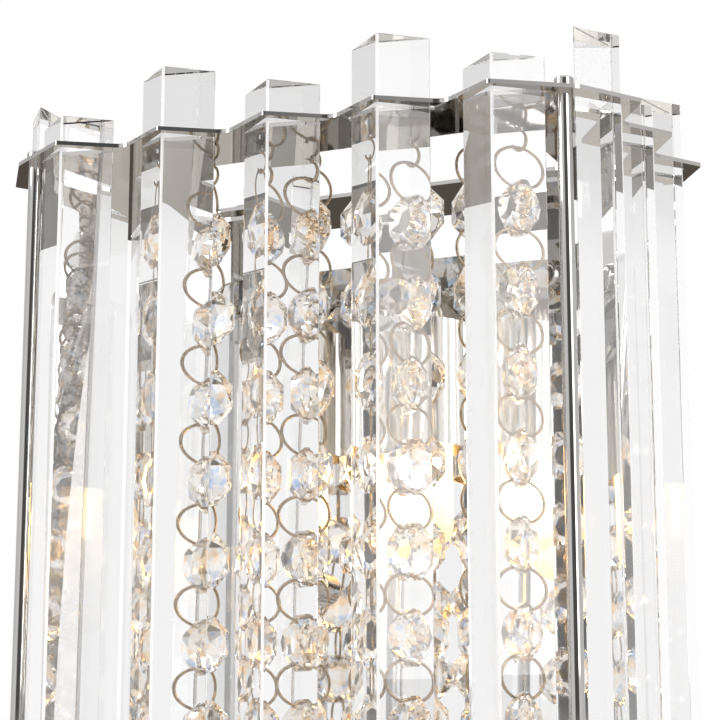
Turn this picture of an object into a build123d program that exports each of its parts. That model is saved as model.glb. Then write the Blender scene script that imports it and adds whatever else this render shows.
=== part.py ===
from build123d import *
import os

# Crystal wall sconce.
# The wall plane is Y = 0, the front faces -Y, X is centred and Z is up.
# The origin is on the back face of the wall bar, at mid height.
# "Depth" is measured backwards from the line of the front teeth.

# Driving sizes in millimetres
tooth_pitch = 28.0
side_pitch = 26.6
front_teeth = 5
side_teeth = 3
tooth_depth = 9.1
valley_radius = 4.0
tip_radius = 0.8
plate_thickness = 1.0
plate_tail = 2.0
plate_wall_gap = 1.0
frame_height = 204.0
front_strip = 30.8
side_strip = 32.0
rear_strip = 27.0
opening_corner = 3.0

# Glass bars
bar_base = 20.2
bar_height = 8.45
front_setback = 2.3
side_setback = 4.6
bar_clearance = 0.25
short_stub = 7.2
middle_stub = 8.7
tall_stub = 16.0

# Corner rods and their caps
rod_radius = 1.75
rod_neck_radius = 1.1
rod_inset_x = 4.0
rod_inset_y = 1.7
rod_hole_clearance = 0.2
cap_radius = 2.3
cap_height = 2.4
cap_roof = 0.7
cap_dome = 0.5
cap_bore_clearance = 0.06
cap_seat_gap = 0.05

# Bead strands
strand_count = 7
strand_pitch = 14.0
strand_edge = 2.4
beads_per_strand = 9
bead_sides = 8
bead_across = 13.4
bead_table = 8.0
bead_thickness = 6.0
bead_hole = 1.7
bead_hole_margin = 2.2
ring_outer = 10.8
wire = 0.7
hook_wire = 0.7
hook_reach = 5.8
hook_bow = 2.0
hook_bar = 3.2
hook_hole_radius = 1.1
link_gap = 0.05

# Back plate and wall bar
pan_drop = 16.0
pan_depth = 12.0
pan_wall = 1.2
pan_corner = 6.0
pan_edge_round = 1.0
pan_wall_gap = 0.3
wall_bar_length = 100.0
wall_bar_side_gap = 4.8
wall_bar_width = 26.0
wall_bar_thickness = 2.0
box_screw_spacing = 70.0
box_slot_width = 5.0
box_slot_length = 14.0
wire_hole_radius = 7.0
stud_spacing = 46.0
stud_radius = 2.0
stud_hole_clearance = 0.2
nut_radius = 4.5
nut_height = 6.0
nut_roof = 1.2
nut_dome = 2.5

# Angle brackets between the back plate and the ring plates
bracket_spacing = 84.0
bracket_width = 14.0
bracket_thickness = 2.0
bracket_foot = 13.0
bracket_overlap = 17.5
screw_radius = 2.0
screw_hole_clearance = 0.1
screw_head_radius = 3.6
screw_head_height = 2.2
screw_tail = 1.0

# Lamp arm and lamp holders
lamp_spacing = 34.0
lamp_depth = 60.0
crossbar_length = 64.0
crossbar_width = 14.0
crossbar_height = 10.0
crossbar_drop = 25.0
tube_wall = 1.2
end_cap_thickness = 1.5
end_cap_plug = 4.0
end_cap_clearance = 0.1
arm_flange_width = 34.0
arm_flange_height = 22.0
arm_flange_thickness = 1.5
flange_screw_spacing = 24.0
nipple_radius = 4.0
nipple_bore = 2.8
nipple_clearance = 0.1
nipple_nut_across = 11.0
nipple_nut_height = 3.0
cone_top_radius = 5.5
cone_height = 5.5
sleeve_radius = 11.0
sleeve_length = 31.5
sleeve_wall = 0.8
socket_radius = 9.0
socket_length = 20.0
socket_top_gap = 0.3
socket_thread = 3.0
pinch_width = 12.0
pinch_thickness = 3.6
pinch_depth = 10.0
pinch_clearance = 0.3
bulb_radius = 6.5
bulb_length = 36.0
bulb_wall = 0.9
filament_radius = 0.9
filament_length = 12.0
lead_radius = 0.35
lead_spacing = 4.0
filament_drop = 10.0

# Terminal block
block_width = 30.0
block_height = 14.0
block_depth = 7.0
block_poles = 3
block_hole_radius = 1.8
block_offset = 36.0

# Places worked out from the driving sizes
tip_half_width = (front_teeth + 1) / 2 * tooth_pitch
rear_depth = (side_teeth + 0.5) * side_pitch + plate_tail
front_reach = rear_depth + plate_wall_gap
top_level = frame_height / 2
strand_depth = front_strip - strand_edge
pan_front = -(pan_depth + pan_wall_gap)
pan_width = wall_bar_length + 2 * (wall_bar_side_gap + pan_wall)
pan_height = frame_height - 2 * pan_drop
bracket_leg = pan_drop - plate_thickness + bracket_overlap
inner_half_width = tip_half_width - side_strip
inner_rear_depth = rear_depth - rear_strip
glass_bar_length = frame_height + short_stub + tall_stub


def y_at(depth):
    return depth - front_reach


def mirrored(points):
    return [(-x, y) for x, y in reversed(points)]


def box_between(low, high):
    size = [b - a for a, b in zip(low, high)]
    middle = [(a + b) / 2 for a, b in zip(low, high)]
    return Pos(*middle) * Box(*size)


def rod_between(x, y, low, high, radius):
    return Pos(x, y, (low + high) / 2) * Cylinder(radius, high - low)


def turned(points):
    """Solid of revolution about Z from (radius, height) points."""
    profile = make_face(Plane.XZ * Polyline(*points, close=True))
    return revolve(profile, Axis.Z)


# Ring plates


def front_outline():
    points = []
    for tooth in range(front_teeth):
        x = (tooth - (front_teeth - 1) / 2) * tooth_pitch
        points.append((x, y_at(0)))
        if tooth < front_teeth - 1:
            points.append((x + tooth_pitch / 2, y_at(tooth_depth)))
    return points


def corner_point():
    """Place where the flanks of the last front tooth and the first side tooth meet."""
    front_slope = 2 * tooth_depth / tooth_pitch
    side_slope = 2 * tooth_depth / side_pitch
    depth = front_slope * (tooth_pitch - side_slope * side_pitch) / (1 - front_slope * side_slope)
    return tip_half_width - side_slope * (side_pitch - depth), y_at(depth)


def right_outline():
    points = [corner_point()]
    for tooth in range(side_teeth):
        depth = (tooth + 1) * side_pitch
        points.append((tip_half_width, y_at(depth)))
        points.append((tip_half_width - tooth_depth, y_at(depth + side_pitch / 2)))
    points.append((tip_half_width - tooth_depth, y_at(rear_depth)))
    return points


def plate_opening():
    width = 2 * inner_half_width
    length = inner_rear_depth - front_strip
    middle = y_at((inner_rear_depth + front_strip) / 2)
    return Pos(0, middle) * RectangleRounded(width, length, opening_corner)


def bar_sites():
    """Name, apex place, heading and height above the top plate of every glass bar."""
    sites = []
    front_stubs = (short_stub, tall_stub, middle_stub, tall_stub, short_stub)
    side_stubs = (tall_stub, short_stub, tall_stub)
    for tooth in range(front_teeth):
        x = (tooth - (front_teeth - 1) / 2) * tooth_pitch
        stub = front_stubs[tooth % len(front_stubs)]
        sites.append((f"glass_bar_front_{tooth + 1}", x, y_at(front_setback), 0, stub))
    for name, side in (("right", 1), ("left", -1)):
        for tooth in range(side_teeth):
            y = y_at((tooth + 1) * side_pitch)
            x = side * (tip_half_width - side_setback)
            stub = side_stubs[tooth % len(side_stubs)]
            sites.append((f"glass_bar_{name}_{tooth + 1}", x, y, 90 * side, stub))
    return sites


def bar_section():
    return make_face(Polyline((0, 0), (bar_base / 2, bar_height), (-bar_base / 2, bar_height), close=True))


def rod_places():
    corner_x, corner_y = corner_point()
    x = corner_x - rod_inset_x
    y = corner_y + rod_inset_y
    return {"right": (x, y), "left": (-x, y)}


def strand_places():
    first = -(strand_count - 1) / 2 * strand_pitch
    return [(first + i * strand_pitch, y_at(strand_depth)) for i in range(strand_count)]


def foot_screw_places():
    y = pan_front - bracket_thickness - (bracket_foot - bracket_thickness) / 2
    return [(side * bracket_spacing / 2, y) for side in (-1, 1)]


def rounded_teeth(face):
    """Outline with its tips, valleys and front corners rounded; the corners at the wall stay sharp."""
    teeth_end = y_at(side_teeth * side_pitch) + tip_radius
    corners = [corner for corner in face.vertices() if corner.Y < teeth_end]
    tips = []
    valleys = []
    for corner in corners:
        at_tip = corner.Y < y_at(tooth_depth / 2) or abs(corner.X) > tip_half_width - tooth_depth / 2
        (tips if at_tip else valleys).append(corner)
    face = fillet(valleys, valley_radius)
    return fillet([face.vertices().sort_by_distance(Vector(*tip))[0] for tip in tips], tip_radius)


def ring_plate(with_hooks):
    """Sheet ring lying on Z = 0, with its thickness above."""
    right = right_outline()
    face = rounded_teeth(make_face(Polyline(*front_outline(), *right, *mirrored(right), close=True)))
    face -= plate_opening()
    hole = offset(bar_section(), bar_clearance, kind=Kind.INTERSECTION)
    for _, x, y, heading, _ in bar_sites():
        face -= Pos(x, y) * Rot(0, 0, heading) * hole
    for x, y in rod_places().values():
        face -= Pos(x, y) * Circle(rod_neck_radius + rod_hole_clearance)
    for x, y in foot_screw_places():
        face -= Pos(x, y) * Circle(screw_radius + screw_hole_clearance)
    if with_hooks:
        for x, y in strand_places():
            face -= Pos(x, y) * Circle(hook_hole_radius)
    return extrude(face, plate_thickness)


def glass_bar(x, y, heading, stub):
    low = top_level + stub - glass_bar_length
    return Pos(x, y, low) * Rot(0, 0, heading) * extrude(bar_section(), glass_bar_length)


# Corner rods and caps


def corner_rod(x, y):
    inner = top_level - plate_thickness
    tip = top_level + cap_height - cap_roof
    return rod_between(x, y, -inner, inner, rod_radius) + rod_between(x, y, -tip, tip, rod_neck_radius)


def domed_cap(radius, height, dome, bore, roof):
    """Round cap nut standing on Z = 0 with a blind bore from below."""
    body = rod_between(0, 0, 0, height, radius)
    body = fillet(body.edges().group_by(Axis.Z)[-1], dome)
    return body - rod_between(0, 0, 0, height - roof, bore)


def rod_cap(x, y):
    cap = domed_cap(cap_radius, cap_height, cap_dome, rod_neck_radius + cap_bore_clearance, cap_roof)
    return Pos(x, y, top_level + cap_seat_gap) * cap


# Bead strands


def wire_in_hole():
    """Distance from a bead hole's centre to the wire that bears on its wall."""
    return (bead_hole - wire) / 2 - link_gap


def bead_hole_offset():
    return bead_across / 2 - bead_hole_margin


def bead_step():
    return 2 * bead_hole_offset() + 2 * wire_in_hole() + ring_outer - wire


def octagon(across):
    return RegularPolygon(across / 2, bead_sides, major_radius=False, rotation=180 / bead_sides)


def octagon_bead():
    """Faceted octagon standing in the XZ plane, with a hole near its top and bottom."""
    sections = []
    for y, across in ((-bead_thickness / 2, bead_table), (0, bead_across), (bead_thickness / 2, bead_table)):
        sections.append(Plane.XZ.offset(-y) * octagon(across))
    bead = loft(sections, ruled=True)
    for side in (-1, 1):
        bead -= Pos(0, 0, side * bead_hole_offset()) * Box(bead_hole, bead_thickness * 2, bead_hole)
    return bead


def link_ring():
    """Eight-sided ring standing in the YZ plane."""
    return extrude(Plane.YZ * (octagon(ring_outer) - octagon(ring_outer - 2 * wire)), wire / 2, both=True)


def strand_hook():
    """Wire hook: a bar on top of the plate, a leg through its hole and a crook that holds the first ring."""
    bar_z = hook_wire / 2 + link_gap
    neck = -plate_thickness - hook_wire
    low = -plate_thickness - hook_reach
    path = Plane.XZ * Polyline(
        (hook_bar, bar_z),
        (0, bar_z),
        (0, neck),
        (hook_bow, neck - hook_bow / 2),
        (hook_bow, low + hook_bow / 2),
        (hook_bow / 2, low),
        (-hook_bow / 2, low),
        (-hook_bow, low + hook_bow / 2),
    )
    start = Plane(origin=path @ 0, z_dir=path % 0)
    return sweep(start * Rectangle(hook_wire, hook_wire), path, transition=Transition.RIGHT)


def bead_strand(x, y):
    """Hook, rings and beads of one strand, hanging from the top plate."""
    ring_top = -plate_thickness - hook_reach + hook_wire / 2 + link_gap + wire
    ring_z = ring_top - ring_outer / 2
    solids = [strand_hook()]
    for i in range(beads_per_strand):
        z = ring_z - i * bead_step()
        solids.append(Pos(0, 0, z) * link_ring())
        solids.append(Pos(0, 0, z - bead_step() / 2) * octagon_bead())
    return Compound(children=[Pos(x, y, top_level) * solid for solid in solids])


# Back plate, wall bar, studs and nuts


def leg_screw_z():
    return (top_level - plate_thickness - bracket_leg + pan_height / 2) / 2


def lamp_arm_z():
    return top_level - crossbar_drop - crossbar_height / 2


def y_hole(x, z, radius):
    """Cutter along Y that reaches through the back plate and what is on it."""
    return Pos(x, pan_front, z) * Rot(90, 0, 0) * Cylinder(radius, 4 * pan_depth)


def back_plate():
    outline = Plane.XZ.offset(pan_wall_gap) * RectangleRounded(pan_width, pan_height, pan_corner)
    pan = extrude(outline, pan_depth)
    pan = fillet(pan.edges().group_by(Axis.Y)[0], pan_edge_round)
    pan = offset(pan, -pan_wall, openings=pan.faces().sort_by(Axis.Y)[-1])
    for side in (-1, 1):
        pan -= y_hole(side * stud_spacing / 2, 0, stud_radius + stud_hole_clearance)
        pan -= y_hole(side * flange_screw_spacing / 2, lamp_arm_z(), screw_radius + screw_hole_clearance)
        for up in (-1, 1):
            place = (side * bracket_spacing / 2, up * leg_screw_z())
            pan -= y_hole(*place, screw_radius + screw_hole_clearance)
    return pan - y_hole(0, lamp_arm_z(), nipple_radius)


def wall_bar():
    half_length = wall_bar_length / 2
    half_width = wall_bar_width / 2
    bar = box_between((-half_length, -wall_bar_thickness, -half_width), (half_length, 0, half_width))
    slot = extrude(Plane.XZ * SlotOverall(box_slot_length, box_slot_width), wall_bar_thickness * 2, both=True)
    for side in (-1, 1):
        bar -= Pos(side * box_screw_spacing / 2, 0, 0) * slot
        bar -= y_hole(side * stud_spacing / 2, 0, stud_radius + stud_hole_clearance)
    return bar - y_hole(0, 0, wire_hole_radius)


def wall_stud(side):
    tip = pan_front - (nut_height - nut_roof)
    stud = Rot(90, 0, 0) * rod_between(0, 0, 0, -tip, stud_radius)
    return Pos(side * stud_spacing / 2, 0, 0) * stud


def wall_nut(side):
    nut = domed_cap(nut_radius, nut_height, nut_dome, stud_radius + cap_bore_clearance, nut_roof)
    return Pos(side * stud_spacing / 2, pan_front - cap_seat_gap, 0) * Rot(90, 0, 0) * nut


# Angle brackets and screws


def angle_bracket(x):
    under = top_level - plate_thickness
    low_x = x - bracket_width / 2
    corner = (x + bracket_width / 2, pan_front, under)
    leg = box_between((low_x, pan_front - bracket_thickness, under - bracket_leg), corner)
    foot = box_between((low_x, pan_front - bracket_foot, under - bracket_thickness), corner)
    bracket = leg + foot
    hole_radius = screw_radius + screw_hole_clearance
    for foot_x, foot_y in foot_screw_places():
        bracket -= rod_between(foot_x, foot_y, under - 2 * bracket_thickness, under, hole_radius)
    return bracket - y_hole(x, leg_screw_z(), hole_radius)


def pan_screw(grip):
    """Pan-head screw with its head above Z = 0 and its shank below."""
    head = rod_between(0, 0, 0, screw_head_height, screw_head_radius)
    head = fillet(head.edges().group_by(Axis.Z)[-1], screw_head_height / 2)
    return head + rod_between(0, 0, -grip - screw_tail, 0, screw_radius)


def both_ends(solids):
    return solids + [mirror(solid, about=Plane.XY) for solid in solids]


def plate_screws():
    screw = pan_screw(plate_thickness + bracket_thickness)
    return Compound(children=both_ends([Pos(x, y, top_level) * screw for x, y in foot_screw_places()]))


def bracket_screws():
    screw = Rot(90, 0, 0) * pan_screw(bracket_thickness + pan_wall)
    y = pan_front - bracket_thickness
    places = [(side * bracket_spacing / 2, y, leg_screw_z()) for side in (-1, 1)]
    return Compound(children=both_ends([Pos(*place) * screw for place in places]))


# Lamp arm


def crossbar_y():
    return y_at(lamp_depth)


def tube_cut(low, high, along):
    """Inside of a rectangular tube, run through both ends of the axis numbered along."""
    low = [a + (-tube_wall if i == along else tube_wall) for i, a in enumerate(low)]
    high = [a + (tube_wall if i == along else -tube_wall) for i, a in enumerate(high)]
    return box_between(low, high)


def arm_tube_ends():
    z = lamp_arm_z()
    rear = crossbar_y() + crossbar_width / 2
    low = (-crossbar_width / 2, rear, z - crossbar_height / 2)
    return low, (crossbar_width / 2, pan_front, z + crossbar_height / 2)


def lamp_arm():
    low, high = arm_tube_ends()
    z = lamp_arm_z()
    flange = box_between(
        (-arm_flange_width / 2, pan_front - arm_flange_thickness, z - arm_flange_height / 2),
        (arm_flange_width / 2, pan_front, z + arm_flange_height / 2),
    )
    arm = box_between(low, high) + flange - tube_cut(low, high, 1)
    for side in (-1, 1):
        arm -= y_hole(side * flange_screw_spacing / 2, z, screw_radius + screw_hole_clearance)
    return arm


def flange_screws():
    screw = Rot(90, 0, 0) * pan_screw(arm_flange_thickness + pan_wall)
    y = pan_front - arm_flange_thickness
    return Compound(
        children=[Pos(side * flange_screw_spacing / 2, y, lamp_arm_z()) * screw for side in (-1, 1)]
    )


def lamp_crossbar():
    z = lamp_arm_z()
    low = (-crossbar_length / 2, crossbar_y() - crossbar_width / 2, z - crossbar_height / 2)
    high = (crossbar_length / 2, crossbar_y() + crossbar_width / 2, z + crossbar_height / 2)
    bar = box_between(low, high) - tube_cut(low, high, 0)
    bar -= tube_cut(*arm_tube_ends(), 1)
    for side in (-1, 1):
        x = side * lamp_spacing / 2
        bar -= rod_between(x, crossbar_y(), low[2] - tube_wall, z, nipple_radius + nipple_clearance)
    return bar


def crossbar_end_caps():
    z = lamp_arm_z()
    inset = tube_wall + end_cap_clearance
    caps = []
    for side in (-1, 1):
        x = side * crossbar_length / 2
        plate = Pos(x + side * end_cap_thickness / 2, crossbar_y(), z)
        plug = Pos(x - side * end_cap_plug / 2, crossbar_y(), z)
        cap = plate * Box(end_cap_thickness, crossbar_width, crossbar_height)
        caps.append(cap + plug * Box(end_cap_plug, crossbar_width - 2 * inset, crossbar_height - 2 * inset))
    return Compound(children=caps)


# Lamp holders and bulbs, drawn with the lamp's top at Z = 0


def lamp_top():
    return top_level - crossbar_drop - crossbar_height


def at_lamp(side, shape):
    return Pos(side * lamp_spacing / 2, crossbar_y(), lamp_top()) * shape


def socket_top():
    return -cone_height - socket_top_gap


def socket_bottom():
    return socket_top() - socket_length


def socket_nipple():
    low = socket_top() - socket_thread
    high = tube_wall + nipple_nut_height + nipple_clearance
    return rod_between(0, 0, low, high, nipple_radius) - rod_between(0, 0, low, high, nipple_bore)


def nipple_nut():
    hexagon = RegularPolygon(nipple_nut_across / 2, 6, major_radius=False)
    outline = hexagon - Circle(nipple_radius + nipple_clearance)
    return Pos(0, 0, tube_wall) * extrude(outline, nipple_nut_height)


def socket_cone():
    bore = nipple_radius + nipple_clearance
    rim = sleeve_radius - sleeve_wall
    return turned([
        (bore, 0),
        (cone_top_radius, 0),
        (sleeve_radius, -cone_height),
        (rim, -cone_height),
        (cone_top_radius - sleeve_wall, -sleeve_wall),
        (bore, -sleeve_wall),
    ])


def socket_sleeve():
    low = -cone_height - sleeve_length
    tube = rod_between(0, 0, low, -cone_height, sleeve_radius)
    return tube - rod_between(0, 0, low, -cone_height, sleeve_radius - sleeve_wall)


def lamp_socket():
    core = rod_between(0, 0, socket_bottom(), socket_top(), socket_radius)
    core -= rod_between(
        0, 0, socket_top() - socket_thread - nipple_clearance, socket_top(), nipple_radius + nipple_clearance
    )
    width = pinch_width / 2 + pinch_clearance
    depth = pinch_thickness / 2 + pinch_clearance
    return core - box_between(
        (-width, -depth, socket_bottom()), (width, depth, socket_bottom() + pinch_depth + pinch_clearance)
    )


def round_ended(radius, low, high):
    """Upright rod with a half-round lower end."""
    return rod_between(0, 0, low + radius, high, radius) + Pos(0, 0, low + radius) * Sphere(radius)


def bulb():
    """Two-pin halogen capsule: a hollow round-ended envelope under a flat glass pinch."""
    top = socket_bottom() - pinch_clearance
    low = top - bulb_length
    envelope = round_ended(bulb_radius, low, top)
    pinch = box_between(
        (-pinch_width / 2, -pinch_thickness / 2, top - bulb_wall),
        (pinch_width / 2, pinch_thickness / 2, socket_bottom() + pinch_depth),
    )
    return envelope + pinch - round_ended(bulb_radius - bulb_wall, low + bulb_wall, bulb_ceiling())


def bulb_ceiling():
    return socket_bottom() - pinch_clearance - bulb_wall


def filament():
    """Upright coil between two leads that hang from the envelope's ceiling."""
    ceiling = bulb_ceiling()
    coil_top = ceiling - filament_drop
    coil_low = coil_top - filament_length
    shape = rod_between(0, 0, coil_low, coil_top, filament_radius)
    half = lead_radius
    for side, end in ((-1, coil_top), (1, coil_low)):
        x = side * lead_spacing / 2
        shape += box_between((x - half, -half, end - half), (x + half, half, ceiling))
        shape += box_between((min(x, 0), -half, end - half), (max(x, 0), half, end + half))
    return shape


# Terminal block


def terminal_block():
    rear = pan_front + pan_wall
    low = (-block_width / 2, rear, -block_offset - block_height / 2)
    high = (block_width / 2, rear + block_depth, -block_offset + block_height / 2)
    block = box_between(low, high)
    for pole in range(block_poles):
        x = ((pole + 0.5) / block_poles - 0.5) * block_width
        block -= rod_between(x, rear + block_depth / 2, low[2], high[2], block_hole_radius)
    return block


# Every node by name


def all_nodes():
    nodes = {
        "wall_bar": wall_bar(),
        "wall_studs": Compound(children=[wall_stud(-1), wall_stud(1)]),
        "back_plate": back_plate(),
        "terminal_block": terminal_block(),
        "top_plate": Pos(0, 0, top_level - plate_thickness) * ring_plate(True),
        "bottom_plate": Pos(0, 0, -top_level) * ring_plate(False),
        "plate_screws": plate_screws(),
        "bracket_screws": bracket_screws(),
        "lamp_arm": lamp_arm(),
        "flange_screws": flange_screws(),
        "lamp_crossbar": lamp_crossbar(),
        "crossbar_end_caps": crossbar_end_caps(),
        "nipple_nuts": Compound(children=[at_lamp(side, nipple_nut()) for side in (-1, 1)]),
    }
    brackets = [angle_bracket(side * bracket_spacing / 2) for side in (-1, 1)]
    nodes["top_brackets"] = Compound(children=brackets)
    nodes["bottom_brackets"] = Compound(children=[mirror(bracket, about=Plane.XY) for bracket in brackets])
    for name, x, y, heading, stub in bar_sites():
        nodes[name] = glass_bar(x, y, heading, stub)
    for name, (x, y) in rod_places().items():
        nodes[f"corner_rod_{name}"] = corner_rod(x, y)
        nodes[f"rod_cap_top_{name}"] = rod_cap(x, y)
        nodes[f"rod_cap_bottom_{name}"] = mirror(rod_cap(x, y), about=Plane.XY)
    for i, (x, y) in enumerate(strand_places()):
        nodes[f"bead_strand_{i + 1}"] = bead_strand(x, y)
    for name, side in (("left", -1), ("right", 1)):
        nodes[f"wall_nut_{name}"] = wall_nut(side)
        nodes[f"socket_nipple_{name}"] = at_lamp(side, socket_nipple())
        nodes[f"socket_cone_{name}"] = at_lamp(side, socket_cone())
        nodes[f"socket_sleeve_{name}"] = at_lamp(side, socket_sleeve())
        nodes[f"lamp_socket_{name}"] = at_lamp(side, lamp_socket())
        nodes[f"bulb_{name}"] = at_lamp(side, bulb())
        nodes[f"filament_{name}"] = at_lamp(side, filament())
    return nodes


os.makedirs("parts", exist_ok=True)
for node_name, node_shape in all_nodes().items():
    export_step(node_shape, f"parts/{node_name}.step")
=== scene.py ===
import math
import random
import bmesh
import bpy
from mathutils import Matrix, Vector


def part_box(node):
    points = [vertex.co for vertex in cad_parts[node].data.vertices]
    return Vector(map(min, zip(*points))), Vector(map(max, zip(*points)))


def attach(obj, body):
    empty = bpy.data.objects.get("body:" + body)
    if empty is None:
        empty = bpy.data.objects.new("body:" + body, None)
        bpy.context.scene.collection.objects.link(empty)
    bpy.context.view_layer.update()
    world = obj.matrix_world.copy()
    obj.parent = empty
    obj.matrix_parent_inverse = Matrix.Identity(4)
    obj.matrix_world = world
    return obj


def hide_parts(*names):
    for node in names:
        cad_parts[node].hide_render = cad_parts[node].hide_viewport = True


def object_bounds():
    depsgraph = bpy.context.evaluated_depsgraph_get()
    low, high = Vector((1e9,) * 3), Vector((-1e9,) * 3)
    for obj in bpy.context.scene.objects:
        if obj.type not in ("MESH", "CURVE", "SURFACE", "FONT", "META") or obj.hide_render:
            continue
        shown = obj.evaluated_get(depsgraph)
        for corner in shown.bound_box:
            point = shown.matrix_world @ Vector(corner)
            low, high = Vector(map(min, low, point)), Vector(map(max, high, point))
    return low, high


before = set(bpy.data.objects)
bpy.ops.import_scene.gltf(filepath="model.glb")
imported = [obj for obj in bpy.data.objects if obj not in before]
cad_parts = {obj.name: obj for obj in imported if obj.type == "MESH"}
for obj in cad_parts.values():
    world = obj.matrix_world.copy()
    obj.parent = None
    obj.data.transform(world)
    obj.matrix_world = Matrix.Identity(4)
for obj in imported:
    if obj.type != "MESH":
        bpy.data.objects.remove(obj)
cad_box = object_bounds()
scene = bpy.context.scene
MM = 0.001

# Sizes shared with the solids, in metres, with each wire given by its radius
strand_count = 7
beads_per_strand = 9
bead_sides = 8
bead_across = 13.4 * MM
bead_thickness = 6.0 * MM
bead_step = 20.0 * MM
ring_radius = 5.05 * MM
ring_wire = 0.35 * MM
hook_wire = 0.35 * MM
hook_bow = 2.0 * MM
hook_bar = 3.2 * MM
hook_reach = 5.8 * MM
plate_thickness = 1.0 * MM
link_gap = 0.05 * MM

# Fine finish that only the scene has, in metres
bead_table = 7.0 * MM
bead_girdle = 0.9 * MM
hook_bend = 0.6 * MM
ridge_edge = 0.5 * MM
side_edge = 0.35 * MM
end_edge = 0.2 * MM

# Mesh steps around a wire, around a ring, along a hook's crook and across the worked edges of a bar
wire_sides = 8
ring_sides = 32
crook_steps = 11
long_edge_steps = 2
end_edge_steps = 1
round_profile = 0.5

# Turns in degrees: each step of a crook, and how far each strand and each of its links hangs askew
crook_turn = 22
strand_turn = -34
strand_turn_spread = 30
link_turn = 14

# Colours of the lamp light and of the painted rainbow light on the glass, with ramps whose stops are a place
# from 0 to 1 and a colour
ramp_middle = 0.5
lamp_light = (1.0, 0.68, 0.34)
bulb_glow = (
    (0.0, (0.25, 0.13, 0.05)),
    (0.35, lamp_light),
    (0.6, lamp_light),
    (1.0, (0.15, 0.08, 0.03)),
)
clear = (1.0, 1.0, 1.0)
# Painted rainbow light on the crystal: the size of its spots and its colours, from blue through clear to
# orange, in place of light split by the facets
painted_rainbow_patches_per_metre = 260.0
painted_rainbow_tints = (
    (0.31, (0.42, 0.6, 1.0)),
    (0.41, (1.0, 0.99, 0.97)),
    (0.55, (1.0, 0.97, 0.92)),
    (0.66, (1.0, 0.66, 0.36)),
)

# Studio sizes and places in metres, with light powers in watts
floor_size = 6.0
floor_drop = 0.002
light_target = (0.0, -0.05, 0.0)
key_place = (-0.9, -0.9, 0.9)
key_size = (0.6, 0.9)
key_power = 9.0
fill_place = (1.2, -0.6, 0.5)
fill_size = (0.5, 0.9)
fill_power = 6.0

# Camera: place in metres, lens in millimetres, angles in degrees
camera_place = (0.2151, -0.53775, -0.0674)
camera_up = 12.588
camera_turn = 23.306
camera_lens = 110.12
camera_sensor = 36
camera_near = 0.05

# Light bounces, enough to pass through many beads and bars in a row
glass_bounces = 48
mirror_bounces = 24


# Materials


def principled(name, color, **sockets):
    """Principled material, where each keyword is a socket's name with _ for its spaces."""
    material = bpy.data.materials.new(name)
    material.use_nodes = True
    shader = material.node_tree.nodes["Principled BSDF"]
    shader.inputs["Base Color"].default_value = (*color, 1.0)
    for socket, value in sockets.items():
        shader.inputs[socket.replace("_", " ")].default_value = value
    return material


def fill_ramp(ramp, stops):
    """Put stops of a place and a colour into a new ramp node, which comes with a stop at each end."""
    elements = ramp.color_ramp.elements
    for _ in stops[2:]:
        elements.new(ramp_middle)
    for element, (place, color) in zip(elements, stops):
        element.position = place
        element.color = (*color, 1.0)


def crystal_glass(name):
    """Clear cut glass with faint painted rainbow colours in spots, which stand in for light split by the cut
    facets.
    """
    material = principled(name, clear, Roughness=0.0, IOR=1.55, Transmission_Weight=1.0)
    tree = material.node_tree
    place = tree.nodes.new("ShaderNodeTexCoord")
    # Spots of painted rainbow light in the base colour, in place of light split by the facets
    painted_rainbow_patches = tree.nodes.new("ShaderNodeTexNoise")
    painted_rainbow_patches.inputs["Scale"].default_value = painted_rainbow_patches_per_metre
    painted_rainbow_ramp = tree.nodes.new("ShaderNodeValToRGB")
    fill_ramp(painted_rainbow_ramp, painted_rainbow_tints)
    tree.links.new(place.outputs["Object"], painted_rainbow_patches.inputs["Vector"])
    tree.links.new(painted_rainbow_patches.outputs["Fac"], painted_rainbow_ramp.inputs["Fac"])
    tree.links.new(painted_rainbow_ramp.outputs["Color"], tree.nodes["Principled BSDF"].inputs["Base Color"])
    return material


def glowing_glass(name, node):
    """Frosted bulb glass that glows most around the filament and fades towards both ends of the node."""
    material = principled(
        name, (1.0, 0.93, 0.8), Roughness=0.3, IOR=1.46, Transmission_Weight=1.0, Emission_Strength=0.6,
    )
    low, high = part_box(node)
    tree = material.node_tree
    place = tree.nodes.new("ShaderNodeTexCoord")
    split = tree.nodes.new("ShaderNodeSeparateXYZ")
    along = tree.nodes.new("ShaderNodeMapRange")
    along.inputs["From Min"].default_value = low.z
    along.inputs["From Max"].default_value = high.z
    glow = tree.nodes.new("ShaderNodeValToRGB")
    fill_ramp(glow, bulb_glow)
    tree.links.new(place.outputs["Object"], split.inputs["Vector"])
    tree.links.new(split.outputs["Z"], along.inputs["Value"])
    tree.links.new(along.outputs["Result"], glow.inputs["Fac"])
    tree.links.new(glow.outputs["Color"], tree.nodes["Principled BSDF"].inputs["Emission Color"])
    return material


chrome = principled("polished_chrome", (0.52, 0.51, 0.495), Metallic=1.0, Roughness=0.03)
mirror = principled("mirror_back", (0.88, 0.88, 0.88), Metallic=1.0, Roughness=0.03)
satin = principled("satin_chrome", (0.8, 0.77, 0.72), Metallic=1.0, Roughness=0.16)
zinc = principled("zinc_steel", (0.6, 0.6, 0.58), Metallic=1.0, Roughness=0.35)
bar_glass = principled("clear_glass", clear, Roughness=0.0, IOR=1.5, Transmission_Weight=1.0)
ground_glass = principled("ground_glass", clear, Roughness=0.5, IOR=1.3, Transmission_Weight=0.35)
crystal = crystal_glass("bead_crystal")
wire_metal = principled("wire_metal", (0.4, 0.32, 0.23), Metallic=1.0, Roughness=0.12)
ceramic = principled("white_ceramic", (0.85, 0.84, 0.8), Roughness=0.5)
plastic = principled("white_plastic", (0.85, 0.85, 0.83), Roughness=0.45)
floor_white = principled("floor_white", (0.85, 0.85, 0.85), Roughness=0.6)
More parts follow.
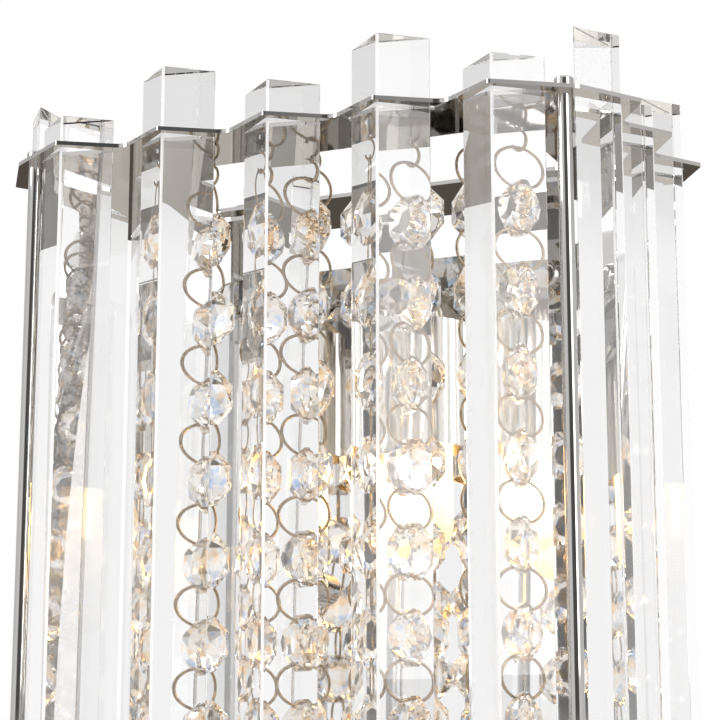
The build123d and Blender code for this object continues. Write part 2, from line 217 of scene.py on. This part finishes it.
# Both bulbs are at one height, so the left one's ends serve both
bulb_glass = glowing_glass("bulb_glass", "bulb_left")
filament_glow = principled(
    "filament_glow", (1.0, 0.8, 0.5), Roughness=0.5,
    Emission_Color=(*lamp_light, 1.0), Emission_Strength=120.0,
)

# Nodes that are not polished chrome
node_materials = {
    "back_plate": mirror,
    "wall_bar": zinc,
    "wall_studs": zinc,
    "nipple_nuts": zinc,
    "terminal_block": plastic,
}
for side in ("left", "right"):
    node_materials[f"socket_nipple_{side}"] = zinc
    node_materials[f"socket_sleeve_{side}"] = satin
    node_materials[f"socket_cone_{side}"] = satin
    node_materials[f"lamp_socket_{side}"] = ceramic
    node_materials[f"bulb_{side}"] = bulb_glass
    node_materials[f"filament_{side}"] = filament_glow
for node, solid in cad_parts.items():
    solid.data.materials.clear()
    solid.data.materials.append(node_materials.get(node, chrome))


# Mesh helpers


def mesh_piece(name, bm, materials):
    mesh = bpy.data.meshes.new(name)
    bm.to_mesh(mesh)
    bm.free()
    for material in materials:
        mesh.materials.append(material)
    piece = bpy.data.objects.new(name, mesh)
    scene.collection.objects.link(piece)
    return piece


def add_ring(bm, place):
    """Link ring in its own XY plane, moved by the matrix place."""
    rows = []
    for i in range(ring_sides):
        a = 2 * math.pi * i / ring_sides
        row = []
        for j in range(wire_sides):
            b = 2 * math.pi * j / wire_sides
            r = ring_radius + ring_wire * math.cos(b)
            point = Vector((r * math.cos(a), r * math.sin(a), ring_wire * math.sin(b)))
            row.append(bm.verts.new(place @ point))
        rows.append(row)
    for i in range(ring_sides):
        near = rows[i]
        far = rows[(i + 1) % ring_sides]
        for j in range(wire_sides):
            k = (j + 1) % wire_sides
            face = bm.faces.new((near[j], far[j], far[k], near[k]))
            face.smooth = True


def add_wire(bm, points, radius):
    """Round wire along points that all lie in one plane of constant Y, with closed ends."""
    side = Vector((0, 1, 0))
    rows = []
    for i, point in enumerate(points):
        before = points[max(i - 1, 0)]
        after = points[min(i + 1, len(points) - 1)]
        out = (after - before).normalized().cross(side)
        row = []
        for j in range(wire_sides):
            b = 2 * math.pi * j / wire_sides
            row.append(bm.verts.new(point + radius * (math.cos(b) * out + math.sin(b) * side)))
        rows.append(row)
    for near, far in zip(rows, rows[1:]):
        for j in range(wire_sides):
            k = (j + 1) % wire_sides
            face = bm.faces.new((near[j], near[k], far[k], far[j]))
            face.smooth = True
    bm.faces.new(rows[0])
    bm.faces.new(list(reversed(rows[-1])))


def bevel(bm, edges, width, steps, finish):
    bmesh.ops.bevel(
        bm, geom=edges, offset=width, segments=steps, profile=round_profile, affect="EDGES", material=finish,
    )


# Glass bars with narrow worked edges: the outer ridge is ground, the sides and ends are polished

bar_materials = [bar_glass, ground_glass]
polished = bar_materials.index(bar_glass)
ground = bar_materials.index(ground_glass)


def glass_bar(node):
    """Three-sided prism that fills its node's box, with the first corner of its section facing out."""
    low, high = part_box(node)
    middle = (low + high) / 2
    if "front" in node:
        section = [(middle.x, low.y), (high.x, high.y), (low.x, high.y)]
    elif "right" in node:
        section = [(high.x, middle.y), (low.x, high.y), (low.x, low.y)]
    else:
        section = [(low.x, middle.y), (high.x, low.y), (high.x, high.y)]
    bm = bmesh.new()
    bottom = [bm.verts.new((x, y, low.z)) for x, y in section]
    top = [bm.verts.new((x, y, high.z)) for x, y in section]
    bm.faces.new(list(reversed(bottom)))
    bm.faces.new(top)
    for i in range(len(section)):
        j = (i + 1) % len(section)
        bm.faces.new((bottom[i], bottom[j], top[j], top[i]))
    ridge, *sides = [bm.edges.get(ends) for ends in zip(bottom, top)]
    bevel(bm, [ridge], ridge_edge, long_edge_steps, ground)
    bevel(bm, sides, side_edge, long_edge_steps, polished)
    for end in (low.z, high.z):
        rim = [edge for edge in bm.edges if all(abs(vert.co.z - end) < end_edge for vert in edge.verts)]
        bevel(bm, rim, end_edge, end_edge_steps, polished)
    bmesh.ops.recalc_face_normals(bm, faces=bm.faces[:])
    piece = mesh_piece(node + "_glass", bm, bar_materials)
    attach(piece, "frame")
    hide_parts(node)


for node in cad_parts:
    if node.startswith("glass_bar"):
        glass_bar(node)


# Bead strands: hook, rings and faceted octagon beads


def add_bead(bm, place):
    """Octagon bead in its own XZ plane: a table and a ring of facets on each face, and a narrow girdle."""
    flat_to_corner = math.cos(math.pi / bead_sides)
    reach = bead_across / 2 / flat_to_corner
    table = bead_table / 2 / flat_to_corner
    # Each level is its Y, its radius to the corners and its turn as a share of one side
    levels = (
        (-bead_thickness / 2, table, 0.0),
        (-bead_girdle / 2, reach, 0.5),
        (bead_girdle / 2, reach, 0.5),
        (bead_thickness / 2, table, 0.0),
    )
    rows = []
    for y, radius, shift in levels:
        row = []
        for i in range(bead_sides):
            a = 2 * math.pi * (i + shift) / bead_sides
            row.append(bm.verts.new(place @ Vector((radius * math.cos(a), y, radius * math.sin(a)))))
        rows.append(row)
    front, girdle_front, girdle_back, back = rows
    bm.faces.new(front)
    bm.faces.new(list(reversed(back)))
    for i in range(bead_sides):
        j = (i + 1) % bead_sides
        bm.faces.new((girdle_front[i], front[j], front[i]))
        bm.faces.new((girdle_front[i], girdle_front[j], front[j]))
        bm.faces.new((girdle_back[i], girdle_back[j], girdle_front[j], girdle_front[i]))
        bm.faces.new((back[i], back[j], girdle_back[i]))
        bm.faces.new((back[j], girdle_back[j], girdle_back[i]))


def hook_points(x, y, top):
    """Bar on the plate, leg through it, bow to one side and crook under the first ring."""
    bar_z = top + hook_wire + link_gap
    neck = top - plate_thickness - 2 * hook_wire
    low = top - plate_thickness - hook_reach
    middle = (neck + low) / 2
    rise = (neck - low) / 2
    points = [
        Vector((x + hook_bar, y, bar_z)),
        Vector((x + hook_bend, y, bar_z)),
        Vector((x, y, bar_z - hook_bend)),
        Vector((x, y, neck)),
    ]
    for step in range(1, crook_steps + 1):
        a = math.radians(90 - crook_turn * step)
        points.append(Vector((x + hook_bow * math.cos(a), y, middle + rise * math.sin(a))))
    return points


def bead_strand(number):
    """Hook and links down the middle of the strand's node, each link turned a little by chance."""
    node = f"bead_strand_{number}"
    low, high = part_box(node)
    x = (low.x + high.x) / 2
    y = (low.y + high.y) / 2
    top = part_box("top_plate")[1].z
    chance = random.Random(number)
    twist = math.radians(strand_turn + strand_turn_spread * chance.random())
    beads = bmesh.new()
    wires = bmesh.new()
    add_wire(wires, hook_points(x, y, top), hook_wire)
    ring_z = top - plate_thickness - hook_reach + hook_wire + link_gap + ring_wire - ring_radius
    for i in range(beads_per_strand):
        z = ring_z - i * bead_step
        turn = twist + math.radians(chance.uniform(-link_turn, link_turn))
        upright = Matrix.Rotation(turn, 4, "Z") @ Matrix.Rotation(math.radians(90), 4, "Y")
        add_ring(wires, Matrix.Translation((x, y, z)) @ upright)
        turn = twist + math.radians(chance.uniform(-link_turn, link_turn))
        place = Matrix.Translation((x, y, z - bead_step / 2)) @ Matrix.Rotation(turn, 4, "Z")
        add_bead(beads, place)
    bmesh.ops.recalc_face_normals(beads, faces=beads.faces[:])
    bmesh.ops.recalc_face_normals(wires, faces=wires.faces[:])
    for piece in (
        mesh_piece(f"strand_{number}_beads", beads, [crystal]),
        mesh_piece(f"strand_{number}_wires", wires, [wire_metal]),
    ):
        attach(piece, f"strand_{number}")
        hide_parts(node)


for number in range(1, strand_count + 1):
    bead_strand(number)


# Studio: pale floor and soft lights


def floor_plane(name):
    """Floor under the object, which isn't seen in the metal or through the glass."""
    bm = bmesh.new()
    bmesh.ops.create_grid(bm, x_segments=1, y_segments=1, size=floor_size / 2)
    piece = mesh_piece(name, bm, [floor_white])
    piece.location.z = cad_box[0].z - floor_drop
    piece.visible_glossy = False
    piece.visible_transmission = False


def area_light(name, place, size, power):
    data = bpy.data.lights.new(name, "AREA")
    data.shape = "RECTANGLE"
    data.size, data.size_y = size
    data.energy = power
    lamp = bpy.data.objects.new(name, data)
    lamp.location = place
    lamp.rotation_euler = (Vector(light_target) - Vector(place)).to_track_quat("-Z", "Y").to_euler()
    scene.collection.objects.link(lamp)


floor_plane("floor")
area_light("key", key_place, key_size, key_power)
area_light("fill", fill_place, fill_size, fill_power)

# Surroundings: bright, with a dark band behind the camera and a dark brown one low behind the object

world = bpy.data.worlds.new("studio")
scene.world = world
world.use_nodes = True
nodes = world.node_tree.nodes
links = world.node_tree.links
grey = (1.0, 1.0, 1.0)
warm = (1.0, 0.94, 0.86)
brown = (1.0, 0.86, 0.7)
away_from_camera = (-0.39, 0.92, 0.0)


def share(socket):
    """Value from -1 to 1 brought to 0 to 1."""
    change = nodes.new("ShaderNodeMapRange")
    change.inputs["From Min"].default_value = -1.0
    links.new(socket, change.inputs["Value"])
    return change.outputs["Result"]


def shades(socket, *stops):
    """Colour ramp whose stops are a place, a brightness and, where it isn't grey, a tint."""
    colors = []
    for place, level, *tint in stops:
        red, green, blue = tint[0] if tint else grey
        colors.append((place, (level * red, level * green, level * blue)))
    ramp = nodes.new("ShaderNodeValToRGB")
    fill_ramp(ramp, colors)
    links.new(socket, ramp.inputs["Fac"])
    return ramp.outputs["Color"]


def blend(kind, factor, first, second):
    mix = nodes.new("ShaderNodeMixRGB")
    mix.blend_type = kind
    links.new(factor, mix.inputs["Fac"])
    links.new(first, mix.inputs["Color1"])
    links.new(second, mix.inputs["Color2"])
    return mix.outputs["Color"]


coords = nodes.new("ShaderNodeTexCoord")
towards = nodes.new("ShaderNodeVectorMath")
towards.operation = "DOT_PRODUCT"
towards.inputs[1].default_value = away_from_camera
links.new(coords.outputs["Generated"], towards.inputs[0])
split = nodes.new("ShaderNodeSeparateXYZ")
links.new(coords.outputs["Generated"], split.inputs["Vector"])
around = share(towards.outputs["Value"])
height = share(split.outputs["Z"])

at_sides = shades(height, (0.0, 0.95, warm), (0.44, 0.9, warm), (0.53, 1.0))
at_front = shades(height, (0.0, 0.95, warm), (0.51, 0.9), (0.53, 0.12), (0.68, 0.12), (0.71, 1.0))
at_back = shades(
    height, (0.0, 0.95, warm), (0.27, 0.9, warm), (0.31, 0.13, brown), (0.46, 0.13, brown), (0.52, 1.0),
)
in_front = shades(around, (0.04, 1.0), (0.09, 0.0))
behind = shades(around, (0.88, 0.0), (0.94, 1.0))
surround = blend("MIX", in_front, at_sides, at_front)
surround = blend("MIX", behind, surround, at_back)

# Beside the object and on its far side it is a little greyer, most of all high up
round_about = shades(around, (0.3, 1.0), (0.42, 0.72), (0.72, 0.7), (0.93, 0.75), (0.97, 1.0))
high_up = shades(height, (0.63, 0.4), (0.65, 1.0))
surround = blend("MULTIPLY", high_up, surround, round_about)

# The camera itself sees plain white
path = nodes.new("ShaderNodeLightPath")
white = nodes.new("ShaderNodeRGB")
white.outputs["Color"].default_value = (1.0, 1.0, 1.0, 1.0)
seen = blend("MIX", path.outputs["Is Camera Ray"], surround, white.outputs["Color"])
links.new(seen, nodes["Background"].inputs["Color"])

# Camera at the photograph's viewing angle

camera_data = bpy.data.cameras.new("camera")
camera_data.sensor_width = camera_sensor
camera_data.lens = camera_lens
camera_data.clip_start = camera_near
camera = bpy.data.objects.new("camera", camera_data)
camera.location = camera_place
camera.rotation_euler = (math.radians(90 + camera_up), 0, math.radians(camera_turn))
scene.collection.objects.link(camera)
scene.camera = camera
scene.view_settings.view_transform = "Standard"
scene.cycles.max_bounces = glass_bounces
scene.cycles.transmission_bounces = glass_bounces
scene.cycles.glossy_bounces = mirror_bounces
